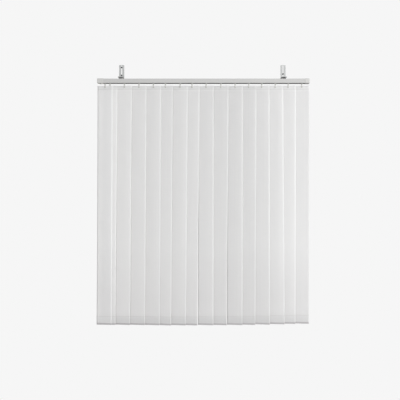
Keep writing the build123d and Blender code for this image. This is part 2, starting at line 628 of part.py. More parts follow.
def vane(i, hook_parts, panel_parts):
    """Vane i at its place: the gear keeps its mesh with the worm while the vane is turned."""
    gear_part, shaft, hook = hook_parts
    turn = Rot(0, 0, -VANE_ANGLE)
    stem = gear_part + shaft + turn * hook
    place = Pos(STEM_X[i], RAIL_CENTRE_Y, 0)
    return [place * stem] + [place * turn * piece for piece in panel_parts]


def main():
    """Builds and writes every sub-part."""
    os.makedirs("parts", exist_ok=True)
    save("headrail", headrail())
    save("control_end_cap", control_end_cap())
    save("plain_end_cap", plain_end_cap())
    save("wall_bracket_left", wall_bracket(0))
    save("wall_bracket_right", wall_bracket(RIGHT_BRACKET_X))
    save("rail_clip_left", rail_clip(0, -1))
    save("rail_clip_right", rail_clip(RIGHT_BRACKET_X, 1))
    save("clip_bolts", *clip_bolt(0), *clip_bolt(RIGHT_BRACKET_X))
    screws = [wall_screw(0, z) for z in LEFT_SCREW_Z]
    screws += [wall_screw(RIGHT_BRACKET_X, z) for z in RIGHT_SCREW_Z]
    save("wall_screws", *screws)
    save("tilt_rod", tilt_rod())
    save("chain_wheel", chain_wheel())
    save("cord_pulley", cord_pulley())
    hook_parts = hook_stem()
    panel_parts = (vane_cloth(), hanger(), bottom_weight())
    for i in range(len(STEM_X)):
        save(f"carrier_{i + 1:02d}", *carrier(i))
        save(f"worm_{i + 1:02d}", worm(i))
        save(f"vane_{i + 1:02d}", *vane(i, hook_parts, panel_parts))


main()
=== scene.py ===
"""Vertical blind: cloth vanes, hook stems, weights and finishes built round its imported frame.

The frame's axes: +X along the rail, +Y into the wall, +Z up, in metres. Sizes here are in millimetres
unless a name says otherwise, and MM turns them into metres.
"""

import json
import logging
import math
from dataclasses import dataclass, field
from enum import Enum
from typing import Callable, Optional

import bmesh
import bpy
from mathutils import Matrix, Vector, noise

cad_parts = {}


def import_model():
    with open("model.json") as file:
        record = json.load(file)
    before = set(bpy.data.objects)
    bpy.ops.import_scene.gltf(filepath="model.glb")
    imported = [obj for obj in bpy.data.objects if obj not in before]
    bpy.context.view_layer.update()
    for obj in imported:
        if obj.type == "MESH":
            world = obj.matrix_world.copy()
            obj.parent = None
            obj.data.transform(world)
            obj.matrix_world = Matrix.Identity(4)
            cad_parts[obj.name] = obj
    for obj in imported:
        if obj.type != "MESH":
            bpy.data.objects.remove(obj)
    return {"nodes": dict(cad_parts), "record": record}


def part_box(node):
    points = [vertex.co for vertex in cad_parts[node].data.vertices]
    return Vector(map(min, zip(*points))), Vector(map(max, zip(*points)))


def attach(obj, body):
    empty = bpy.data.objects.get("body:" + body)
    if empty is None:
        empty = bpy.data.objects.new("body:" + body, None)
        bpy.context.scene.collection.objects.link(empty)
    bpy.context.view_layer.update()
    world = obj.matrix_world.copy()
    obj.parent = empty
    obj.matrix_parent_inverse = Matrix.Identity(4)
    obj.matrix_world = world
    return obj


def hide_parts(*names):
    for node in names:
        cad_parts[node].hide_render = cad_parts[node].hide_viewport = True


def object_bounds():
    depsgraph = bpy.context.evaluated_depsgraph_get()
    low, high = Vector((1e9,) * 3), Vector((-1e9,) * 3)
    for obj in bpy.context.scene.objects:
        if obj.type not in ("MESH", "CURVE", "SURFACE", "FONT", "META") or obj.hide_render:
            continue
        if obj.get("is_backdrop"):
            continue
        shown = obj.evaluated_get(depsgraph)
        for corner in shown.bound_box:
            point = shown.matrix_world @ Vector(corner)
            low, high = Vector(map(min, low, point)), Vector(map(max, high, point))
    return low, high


Node = bpy.types.Node
Tree = bpy.types.NodeTree
Socket = bpy.types.NodeSocket
Material = bpy.types.Material
Object = bpy.types.Object
Shape = bmesh.types.BMesh
Triple = tuple[float, float, float]

LOG = logging.getLogger("vertical_blind")
MM = 0.001
SAME_PLACE = 1e-6               # metres: nearer than this, two vertices are one
VANE_BELOW_RAIL_MM = 14.0
CAMERA_AIM = (0.4558, -0.081, -0.7434)      # metres: a point among the vanes
MADE: dict[str, Material] = {}


# --------------------------------------------------------------------------------------- colour and nodes
def linear(hex_colour: str) -> tuple[float, float, float, float]:
    """Turn an sRGB hex colour into the linear colour that shaders take.

    Args:
        hex_colour: six hex digits, such as "E0DFDC".

    Returns:
        Linear red, green and blue, and an alpha of 1.
    """
    channels = [int(hex_colour[i : i + 2], 16) / 255 for i in (0, 2, 4)]
    toe, slope, power, offset = 0.04045, 12.92, 2.4, 0.055
    red, green, blue = (c / slope if c <= toe else ((c + offset) / (1 + offset)) ** power for c in channels)
    return (red, green, blue, 1.0)


def add_node(tree: Tree, kind: str, values: Optional[dict] = None, links: Optional[dict] = None,
             **settings: object) -> Node:
    """Add one node, set it up and link its inputs.

    Args:
        tree: the node tree that gets the node.
        kind: the node's type name without its ShaderNode prefix.
        values: input name or index to a constant.
        links: input name or index to the output socket that feeds it.
        settings: attributes of the node, such as operation or data_type.

    Returns:
        The new node.
    """
    node = tree.nodes.new("ShaderNode" + kind)
    for name, value in settings.items():
        setattr(node, name, value)
    for name, value in (values or {}).items():
        node.inputs[name].default_value = value
    for name, socket in (links or {}).items():
        tree.links.new(socket, node.inputs[name])
    return node


def empty_material(name: str) -> tuple[Material, Tree, Node]:
    """Make a material that holds only its output node.

    Args:
        name: the material's name.

    Returns:
        The material, its tree and the output node.
    """
    material = bpy.data.materials.new(name)
    material.use_nodes = True
    tree = material.node_tree
    tree.nodes.clear()
    return material, tree, add_node(tree, "OutputMaterial")


def per_metre(size_mm: float) -> float:
    """How many times a size goes into a metre."""
    return 1 / MM / size_mm


def object_pattern(tree: Tree, repeats: Triple) -> Socket:
    """Object coordinates, scaled for a texture of scale 1.

    Args:
        tree: the material's tree.
        repeats: how many times a metre the texture repeats, along each axis.

    Returns:
        The scaled coordinates.
    """
    coordinates = add_node(tree, "TexCoord")
    mapping = add_node(tree, "Mapping", {"Scale": repeats}, {"Vector": coordinates.outputs["Object"]})
    return mapping.outputs["Vector"]


# --------------------------------------------------------------------------------------- finishes
@dataclass(frozen=True)
class Enamel:
    """Stoved enamel on extruded aluminium: even and satin, with faint draw lines along the extrusion.

    The enamel hides the metal's colour, so it is no metal to the eye. The die's lines show only as a
    slight change of gloss along X, and the paint's orange peel as a soft wave a few millimetres wide.
    The spray wraps a few millimetres under the front edge. Behind that the underside and the slot's
    lips are painted dark, dull and hardly glossy: painted shade, which reads as a dark line under the rail.
    """

    name: str
    colour: str
    shade: str
    # Painted shade: the dark colour of the rail's underside and slot lips behind the front edge.
    painted_shade: str = "4A4A49"
    painted_shade_roughness: float = 0.85
    painted_shade_below_mm: float = -71.4
    painted_shade_behind_mm: float = -74.0
    below_fade_mm: float = 0.2
    spray_fade_mm: float = 1.0
    roughness: float = 0.42
    roughness_swing: float = 0.08
    peel_mm: float = 3.0
    peel_deep_mm: float = 0.4
    draw_line_mm: float = 0.9
    draw_line_deep_mm: float = 0.1
    draw_line_per_metre: float = 2.0        # along the rail, where a line hardly changes
    cloud_per_metre: Triple = (9.0, 30.0, 30.0)

    def material(self) -> Material:
        """Build the material.

        Returns:
            The enamel, with painted shade on the underside behind the front edge.
        """
        material, tree, output = empty_material(self.name)
        peel_at = object_pattern(tree, (per_metre(self.peel_mm),) * 3)
        peel = add_node(tree, "TexNoise", {"Scale": 1.0, "Detail": 2.0}, {"Vector": peel_at})
        line_scale = per_metre(self.draw_line_mm)
        lines_at = object_pattern(tree, (self.draw_line_per_metre, line_scale, line_scale))
        lines = add_node(tree, "TexNoise", {"Scale": 1.0, "Detail": 3.0}, {"Vector": lines_at})
        cloud_at = object_pattern(tree, self.cloud_per_metre)
        cloud = add_node(tree, "TexNoise", {"Scale": 1.0, "Detail": 3.0}, {"Vector": cloud_at})
        colour = add_node(tree, "MixRGB", {"Color1": linear(self.colour), "Color2": linear(self.shade)},
                          {"Fac": cloud.outputs["Fac"]})
        gloss = add_node(tree, "MapRange", {"To Min": self.roughness - self.roughness_swing,
                                            "To Max": self.roughness + self.roughness_swing},
                         {"Value": lines.outputs["Fac"]})
        wave = add_node(tree, "Bump", {"Strength": 0.06, "Distance": self.peel_deep_mm * MM},
                        {"Height": peel.outputs["Fac"]})
        relief = add_node(tree, "Bump", {"Strength": 0.05, "Distance": self.draw_line_deep_mm * MM},
                          {"Height": lines.outputs["Fac"], "Normal": wave.outputs["Normal"]})
        paint = add_node(tree, "BsdfPrincipled", {"IOR": 1.5},
                         {"Base Color": colour.outputs["Color"], "Roughness": gloss.outputs["Result"],
                          "Normal": relief.outputs["Normal"]})
        # Painted shade: a dull dark shader on the underside and slot lips, for the dark line under the rail.
        metal = add_node(tree, "BsdfPrincipled",
                         {"Base Color": linear(self.painted_shade), "Roughness": self.painted_shade_roughness,
                          "Specular IOR Level": 0.1})
        mix = add_node(tree, "MixShader", {}, {0: self.painted_shade_zone(tree), 1: paint.outputs["BSDF"],
                                               2: metal.outputs["BSDF"]})
        tree.links.new(mix.outputs["Shader"], output.inputs["Surface"])
        return material

    def painted_shade_zone(self, tree: Tree) -> Socket:
        """Where the painted shade under the rail lies.

        Args:
            tree: the material's tree.

        Returns:
            1 under the rail behind its front edge, and 0 elsewhere.
        """
        place = add_node(tree, "TexCoord")
        axes = add_node(tree, "SeparateXYZ", {}, {"Vector": place.outputs["Object"]})
        low = add_node(tree, "MapRange", {"From Min": (self.painted_shade_below_mm + self.below_fade_mm) * MM,
                                          "From Max": self.painted_shade_below_mm * MM},
                       {"Value": axes.outputs["Z"]})
        back = add_node(tree, "MapRange", {"From Min": (self.painted_shade_behind_mm - self.spray_fade_mm / 2) * MM,
                                           "From Max": (self.painted_shade_behind_mm + self.spray_fade_mm / 2) * MM},
                        {"Value": axes.outputs["Y"]})
        both = add_node(tree, "Math", {}, {0: low.outputs["Result"], 1: back.outputs["Result"]},
                        operation="MULTIPLY", use_clamp=True)
        return both.outputs["Value"]


@dataclass(frozen=True)
class Moulding:
    """Injection-moulded plastic: ABS caps, acetal carriers and hooks, nylon wheels.

    The mould's fine spark texture breaks up the gloss, and the plastic lets a little light in, so its
    edges look soft. A slow cloud stands for uneven cooling.
    """

    name: str
    colour: str
    shade: str
    roughness: float = 0.4
    smoother: float = 0.07          # how far the spark texture takes the roughness down
    rougher: float = 0.1            # and up
    texture_mm: float = 0.8
    texture_deep_mm: float = 0.1
    cloud_per_metre: float = 60.0
    soft_share: float = 0.12
    soft_depth_mm: float = 0.6

    def material(self) -> Material:
        """Build the material.

        Returns:
            The moulded plastic.
        """
        material, tree, output = empty_material(self.name)
        grain_at = object_pattern(tree, (per_metre(self.texture_mm),) * 3)
        grain = add_node(tree, "TexNoise", {"Scale": 1.0, "Detail": 4.0, "Roughness": 0.6},
                         {"Vector": grain_at})
        cloud_at = object_pattern(tree, (self.cloud_per_metre,) * 3)
        cloud = add_node(tree, "TexNoise", {"Scale": 1.0, "Detail": 2.0}, {"Vector": cloud_at})
        colour = add_node(tree, "MixRGB", {"Color1": linear(self.colour), "Color2": linear(self.shade)},
                          {"Fac": cloud.outputs["Fac"]})
        gloss = add_node(tree, "MapRange", {"To Min": self.roughness - self.smoother,
                                            "To Max": self.roughness + self.rougher},
                         {"Value": grain.outputs["Fac"]})
        relief = add_node(tree, "Bump", {"Strength": 0.12, "Distance": self.texture_deep_mm * MM},
                          {"Height": grain.outputs["Fac"]})
        shader = add_node(tree, "BsdfPrincipled",
                          {"IOR": 1.48, "Subsurface Weight": self.soft_share,
                           "Subsurface Scale": self.soft_depth_mm * MM,
                           "Subsurface Radius": (1.0, 1.0, 1.0)},
                          {"Base Color": colour.outputs["Color"], "Roughness": gloss.outputs["Result"],
                           "Normal": relief.outputs["Normal"]})
        tree.links.new(shader.outputs["BSDF"], output.inputs["Surface"])
        return material


@dataclass(frozen=True)
class SheetMetal:
    """Bare or plated metal sheet and rod: zinc-plated steel, spring steel, mill-finish aluminium.

    Rolling leaves fine lines one way, and plating a patchwork of slightly different tints, so the
    reflection is broken into streaks along the line direction.
    """

    name: str
    colour: str
    shade: str
    roughness: float = 0.38
    smoother: float = 0.1           # how far the lines take the roughness down
    rougher: float = 0.12           # and up
    metallic: float = 1.0
    patch_mm: float = 6.0
    lines_per_metre: Triple = (900.0, 40.0, 900.0)
    line_deep_mm: float = 0.1

    def material(self) -> Material:
        """Build the material.

        Returns:
            The metal.
        """
        material, tree, output = empty_material(self.name)
        lines_at = object_pattern(tree, self.lines_per_metre)
        lines = add_node(tree, "TexNoise", {"Scale": 1.0, "Detail": 3.0}, {"Vector": lines_at})
        patch_at = object_pattern(tree, (per_metre(self.patch_mm),) * 3)
        patch = add_node(tree, "TexVoronoi", {"Scale": 1.0, "Randomness": 1.0}, {"Vector": patch_at})
        patch_tone = add_node(tree, "SeparateColor", {}, {"Color": patch.outputs["Color"]})
        colour = add_node(tree, "MixRGB", {"Color1": linear(self.colour), "Color2": linear(self.shade)},
                          {"Fac": patch_tone.outputs["Red"]})
        gloss = add_node(tree, "MapRange", {"To Min": self.roughness - self.smoother,
                                            "To Max": self.roughness + self.rougher},
                         {"Value": lines.outputs["Fac"]})
        relief = add_node(tree, "Bump", {"Strength": 0.1, "Distance": self.line_deep_mm * MM},
                          {"Height": lines.outputs["Fac"]})
        shader = add_node(tree, "BsdfPrincipled", {"Metallic": self.metallic},
                          {"Base Color": colour.outputs["Color"], "Roughness": gloss.outputs["Result"],
                           "Normal": relief.outputs["Normal"]})
        tree.links.new(shader.outputs["BSDF"], output.inputs["Surface"])
        return material


@dataclass(frozen=True)
class WovenCloth:
    """Off-white woven polyester, stiffened, hung as vanes: it glows a little where light comes through.

    Real threads are 0.45 mm apart, which is too fine to show from where the blind is seen, so the
    crossing threads are only relief, and what shows is the slubs: thick stretches of weft, drawn
    about 3 mm tall and 60 mm long, and slow bands where the warp was set a little closer. The mesh
    marks where the cloth is painted lighter as painted light, darker towards its foot, dark along the
    bottom fold as painted shade, or squeezed flat by a weld.
    """

    name: str = "woven_polyester"
    colour: str = "ECECEC"
    shade: str = "E8E8E8"
    # Painted light: the lighter colour for vanes at the row's ends and for the cloth over the plate.
    painted_light_colour: str = "F7F7F7"
    weld_colour: str = "E2E1E0"
    # Darker colour for the cloth's foot, and for the painted shade along the bottom fold.
    foot_dark_and_fold_shade_colour: str = "D6D4D5"
    thread_mm: float = 0.45
    thread_deep_mm: float = 0.12
    slub_mm: tuple[float, float] = (60.0, 3.0)
    bands_per_metre: tuple[float, float] = (140.0, 1.2)
    mottle: tuple[float, float] = (0.12, 0.42)      # slubs times bands, where shade and colour begin
    see_through: float = 0.45
    half_width_mm: float = 44.5
    fused_edge_mm: float = 0.6

    def material(self) -> Material:
        """Build the material.

        Returns:
            The cloth.
        """
        material, tree, output = empty_material(self.name)
        coordinates = add_node(tree, "TexCoord")
        uv = coordinates.outputs["UV"]
        axes = add_node(tree, "SeparateXYZ", {}, {"Vector": uv})
        slub_scale = (per_metre(self.slub_mm[0]), per_metre(self.slub_mm[1]), 1.0)
        slub_at = add_node(tree, "Mapping", {"Scale": slub_scale}, {"Vector": uv})
        slubs = add_node(tree, "TexNoise", {"Scale": 1.0, "Detail": 3.0, "Roughness": 0.65},
                         {"Vector": slub_at.outputs["Vector"]})
        band_at = add_node(tree, "Mapping", {"Scale": (*self.bands_per_metre, 1.0)}, {"Vector": uv})
        bands = add_node(tree, "TexNoise", {"Scale": 1.0, "Detail": 2.0},
                         {"Vector": band_at.outputs["Vector"]})
        weave = add_node(tree, "Math", {}, {0: slubs.outputs["Fac"], 1: bands.outputs["Fac"]},
                         operation="MULTIPLY")
        spread = add_node(tree, "MapRange", {"From Min": self.mottle[0], "From Max": self.mottle[1]},
                          {"Value": weave.outputs["Value"]})
        cloth = add_node(tree, "MixRGB", {"Color1": linear(self.shade), "Color2": linear(self.colour)},
                         {"Fac": spread.outputs["Result"]})
        # Painted light: vanes at the row's ends, and the cloth over the plate in the top hem, are painted
        # lighter.
        tone = add_node(tree, "Attribute", attribute_name="tone")
        cloth = add_node(tree, "MixRGB", {"Color2": linear(self.painted_light_colour)},
                         {"Fac": tone.outputs["Fac"], "Color1": cloth.outputs["Color"]})
        # The long edges are cut hot, which fuses the threads into a thin hard line.
        off_centre = add_node(tree, "Math", {}, {0: axes.outputs["X"]}, operation="ABSOLUTE")
        edge = add_node(tree, "MapRange",
                        {"From Min": (self.half_width_mm - self.fused_edge_mm) * MM,
                         "From Max": self.half_width_mm * MM},
                        {"Value": off_centre.outputs["Value"]})
        weld = add_node(tree, "Attribute", attribute_name="weld")
        marked = add_node(tree, "Math", {}, {0: edge.outputs["Result"], 1: weld.outputs["Fac"]},
                          operation="MAXIMUM", use_clamp=True)
        colour = add_node(tree, "MixRGB", {"Color2": linear(self.weld_colour)},
                          {"Fac": marked.outputs["Value"], "Color1": cloth.outputs["Color"]})
        # Darker towards each vane's foot, and painted shade along the bottom fold.
        foot_dark_and_fold_shade = add_node(tree, "Attribute", attribute_name="foot_dark_and_fold_shade")
        colour = add_node(tree, "MixRGB", {"Color2": linear(self.foot_dark_and_fold_shade_colour)},
                          {"Fac": foot_dark_and_fold_shade.outputs["Fac"], "Color1": colour.outputs["Color"]})
        relief = self.thread_relief(tree, uv, slubs.outputs["Fac"])
        front = add_node(tree, "BsdfPrincipled",
                         {"Roughness": 0.88, "IOR": 1.45, "Specular IOR Level": 0.25,
                          "Sheen Weight": 0.12, "Sheen Roughness": 0.5},
                         {"Base Color": colour.outputs["Color"], "Normal": relief})
        through = add_node(tree, "BsdfTranslucent", {},
                           {"Color": colour.outputs["Color"], "Normal": relief})
        mix = add_node(tree, "MixShader", {0: self.see_through},
                       {1: front.outputs["BSDF"], 2: through.outputs["BSDF"]})
        tree.links.new(mix.outputs["Shader"], output.inputs["Surface"])
        return material

    def thread_relief(self, tree: Tree, uv: Socket, slubs: Socket) -> Socket:
        """The crossing threads and the slubs as a bump.

        Args:
            tree: the material's tree.
            uv: the cloth's UV socket, in metres across and along.
            slubs: the slubs' noise.

        Returns:
            The normal socket.
        """
        scale = per_metre(self.thread_mm) / math.tau
        height = slubs
        for direction in ("X", "Y"):
            threads = add_node(tree, "TexWave", {"Scale": scale, "Distortion": 0.6, "Detail": 1.0},
                               {"Vector": uv}, wave_type="BANDS", bands_direction=direction,
                               wave_profile="SIN")
            total = add_node(tree, "Math", {}, {0: height, 1: threads.outputs["Fac"]}, operation="ADD")
            height = total.outputs["Value"]
        bump = add_node(tree, "Bump", {"Strength": 0.25, "Distance": self.thread_deep_mm * MM},
                        {"Height": height})
        return bump.outputs["Normal"]


class Finish(Enum):
    """Every finish on the blind."""

    RAIL = Enamel("stoved_enamel", "B7B7B6", "B1B1B0")
    CAP = Moulding("moulded_abs", "BFBFBD", "B7B7B5")
    HOOK = Moulding("moulded_acetal", "D2D2CF", "C8C8C4", roughness=0.3)
    CARRIER = Moulding("moulded_acetal_copolymer", "F0F0ED", "E6E6E2")
    WHEEL = Moulding("moulded_nylon", "E8E7E0", "DEDCD3", roughness=0.45)
    HANGER = Moulding("cut_styrene_sheet", "EFEFEC", "E6E6E3", roughness=0.5)
    BRACKET = SheetMetal("zinc_plated_sheet_steel", "B6B7B6", "A9ABAB", roughness=0.6, metallic=0.25)
    CLIP = SheetMetal("tempered_spring_steel", "C3C4C5", "B4B5B7", roughness=0.5, metallic=0.15)
    SCREW = SheetMetal("black_phosphated_steel", "1E1E1F", "141415", roughness=0.55, metallic=0.3,
                       patch_mm=1.5)
    BOLT = SheetMetal("zinc_plated_bolt_steel", "D6D7D5", "C8CACA", roughness=0.45, metallic=0.3,
                      patch_mm=2.0)
    ROD = SheetMetal("mill_finish_aluminium", "C9CACC", "BDBEC0", roughness=0.3,
                     lines_per_metre=(12.0, 1200.0, 1200.0))
    WEIGHT = SheetMetal("galvanised_strip_steel", "C0C2C2", "B2B4B5", roughness=0.6, metallic=0.3)
    CLOTH = WovenCloth()

    def get(self) -> Material:
        """The finish's material, built the first time it is asked for.

        Returns:
            The material, the same one each time.
        """
        if self.name not in MADE:
            MADE[self.name] = self.value.material()
        return MADE[self.name]


# --------------------------------------------------------------------------------------- meshes
def finished(name: str, bm: Shape, finish: Finish, smooth_degrees: float = 35.0) -> Object:
    """Turn a bmesh into an object at the origin with one finish.

    Args:
        name: the object's name.
        bm: the shape, which is freed.
        finish: what it is finished in.
        smooth_degrees: edges that turn less than this are shaded smooth.

    Returns:
        The new object.
    """
    mesh = bpy.data.meshes.new(name)
    for face in bm.faces:
        face.smooth = True
    bm.to_mesh(mesh)
    bm.free()
    mesh.set_sharp_from_angle(angle=math.radians(smooth_degrees))
    mesh.materials.append(finish.get())
    piece = bpy.data.objects.new(name, mesh)
    bpy.context.scene.collection.objects.link(piece)
    return piece


def dress(node: Object, finish: Finish) -> None:
    """Give a CAD node its finish, leaving its mesh as it is.

    Args:
        node: the CAD node's object.
        finish: what it is finished in.
    """
    if not node.material_slots:
        node.data.materials.append(finish.get())
    for slot in node.material_slots:
        slot.material = finish.get()


def merged_copy(node: Object) -> Shape:
    """A copy of a CAD node's mesh with its loose triangles joined.

    Args:
        node: the CAD node's object.

    Returns:
        The copy as a bmesh.
    """
    bm = bmesh.new()
    bm.from_mesh(node.data)
    bmesh.ops.remove_doubles(bm, verts=bm.verts, dist=SAME_PLACE)
    return bm


def islands(bm: Shape) -> list[set[bmesh.types.BMVert]]:
    """The separate solids of a mesh.

    Args:
        bm: a mesh whose doubles are merged.

    Returns:
        The vertices of each solid.
    """
    left = set(bm.verts)
    found = []
    while left:
        stack = [left.pop()]
        group = set(stack)
        while stack:
            for edge in stack.pop().link_edges:
                for vert in edge.verts:
                    if vert in left:
                        left.remove(vert)
                        group.add(vert)
                        stack.append(vert)
        found.append(group)
    return found


def solid_of(node: Object, wanted: Callable[[float, float], bool]) -> Shape:
    """A copy of one solid of a CAD node, with its flat faces made whole.

    Args:
        node: the CAD node's object.
        wanted: picks the solid by its lowest and highest Z.

    Returns:
        The solid as a bmesh.
    """
    bm = merged_copy(node)
    drop = []
    for group in islands(bm):
        heights = [v.co.z for v in group]
        if not wanted(min(heights), max(heights)):
            drop.extend(group)
    bmesh.ops.delete(bm, geom=drop, context="VERTS")
    flat = math.radians(0.5)
    bmesh.ops.dissolve_limit(bm, angle_limit=flat, verts=bm.verts, edges=bm.edges)
    bmesh.ops.recalc_face_normals(bm, faces=bm.faces)
    return bm


def round_edges(bm: Shape, edges: list[bmesh.types.BMEdge], width_mm: float, segments: int = 2) -> None:
    """Round some edges of a shape.

    Args:
        bm: the shape.
        edges: the edges to round.
        width_mm: how far the rounding reaches.
        segments: how many faces it has across.
    """
    bmesh.ops.bevel(bm, geom=edges, offset=width_mm * MM, affect="EDGES", segments=segments, profile=0.5,
                    material=-1)


def soften(bm: Shape, width_mm: float, below: float) -> None:
    """Round the sharp edges that lie below a height, as a mould leaves them.

    Args:
        bm: the shape.
        width_mm: how far the rounding reaches.
        below: only edges wholly below this Z, in metres, are rounded.
    """
    sharp_turn = math.radians(40.0)
    sharp = [e for e in bm.edges if len(e.link_faces) == 2 and max(v.co.z for v in e.verts) < below
             and e.calc_face_angle(0.0) > sharp_turn]
    bmesh.ops.bevel(bm, geom=sharp, offset=width_mm * MM, affect="EDGES", segments=2, profile=0.5,
                    material=-1, clamp_overlap=True)


# --------------------------------------------------------------------------------------- vanes
@dataclass(frozen=True)
class Hang:
    """How one vane hangs: small differences that a row of real vanes has, and the painted light on its
    cloth.
    """

    swing_mm: float         # how far its bottom lies to one side
    twist: float            # how far its bottom has turned, in degrees
    bow_mm: float           # how far its middle stands off the straight line
    rise_mm: float          # how much shorter it was cut
    tone: float             # painted light: how much lighter its cloth is painted, from 0 to 1, most at the row's ends


# Neighbours bow and twist nearly alike, so that they still lie clear of each other when they are stacked.
HANGS = (
    Hang(-6.0, 1.0, 2.0, -2.0, 0.95), Hang(-12.0, 0.5, 1.5, -2.0, 0.8), Hang(-10.0, 0.1, 1.0, -2.5, 0.65),
    Hang(-9.0, -0.3, 0.6, -3.0, 0.5), Hang(-8.0, -0.6, 0.1, -4.0, 0.4), Hang(-11.0, -0.3, -0.3, -5.0, 0.4),
    Hang(-12.0, 0.1, -0.7, -5.0, 0.4), Hang(-12.5, 0.6, -1.1, -5.0, 0.4), Hang(-2.0, 1.0, -0.7, -4.0, 0.3),
    Hang(-10.0, 0.6, -0.3, -4.0, 0.25), Hang(-2.0, 0.2, 0.2, -3.0, 0.2), Hang(-6.0, -0.3, 0.7, -2.0, 0.2),
    Hang(3.0, -0.7, 1.2, 0.0, 0.4), Hang(9.0, -0.2, 0.8, 2.0, 0.55), Hang(-3.0, 0.3, 0.4, 4.0, 0.7),
    Hang(-4.0, 0.8, 0.8, 5.0, 0.75),
)


@dataclass(frozen=True)
class Collar:
    """The round flange moulded on a hook stem just under the rail's slot, narrower towards its foot."""

    radius_mm: float = 4.6
    top_mm: float = 12.9            # above the vane's top
    foot_mm: float = 9.0            # above the vane's top
    waist: float = 0.8              # share of the radius that its foot has
    rim_mm: float = 0.4

    def add(self, bm: Shape, x: float, y: float, vane_top: float) -> None:
        """Add the collar to a stem.

        Args:
            bm: the stem's shape.
            x: the stem's axis, in metres.
            y: the stem's axis, in metres.
            vane_top: Z of the vane's top, in metres.
        """
        radius = self.radius_mm * MM
        middle = Matrix.Translation((x, y, vane_top + (self.top_mm + self.foot_mm) / 2 * MM))
        cone = bmesh.ops.create_cone(bm, cap_ends=True, segments=32, radius1=radius * self.waist,
                                     radius2=radius, depth=(self.top_mm - self.foot_mm) * MM, matrix=middle)
        rims = {e for v in cone["verts"] for e in v.link_edges
                if abs(e.verts[0].co.z - e.verts[1].co.z) < SAME_PLACE}
        round_edges(bm, list(rims), self.rim_mm)


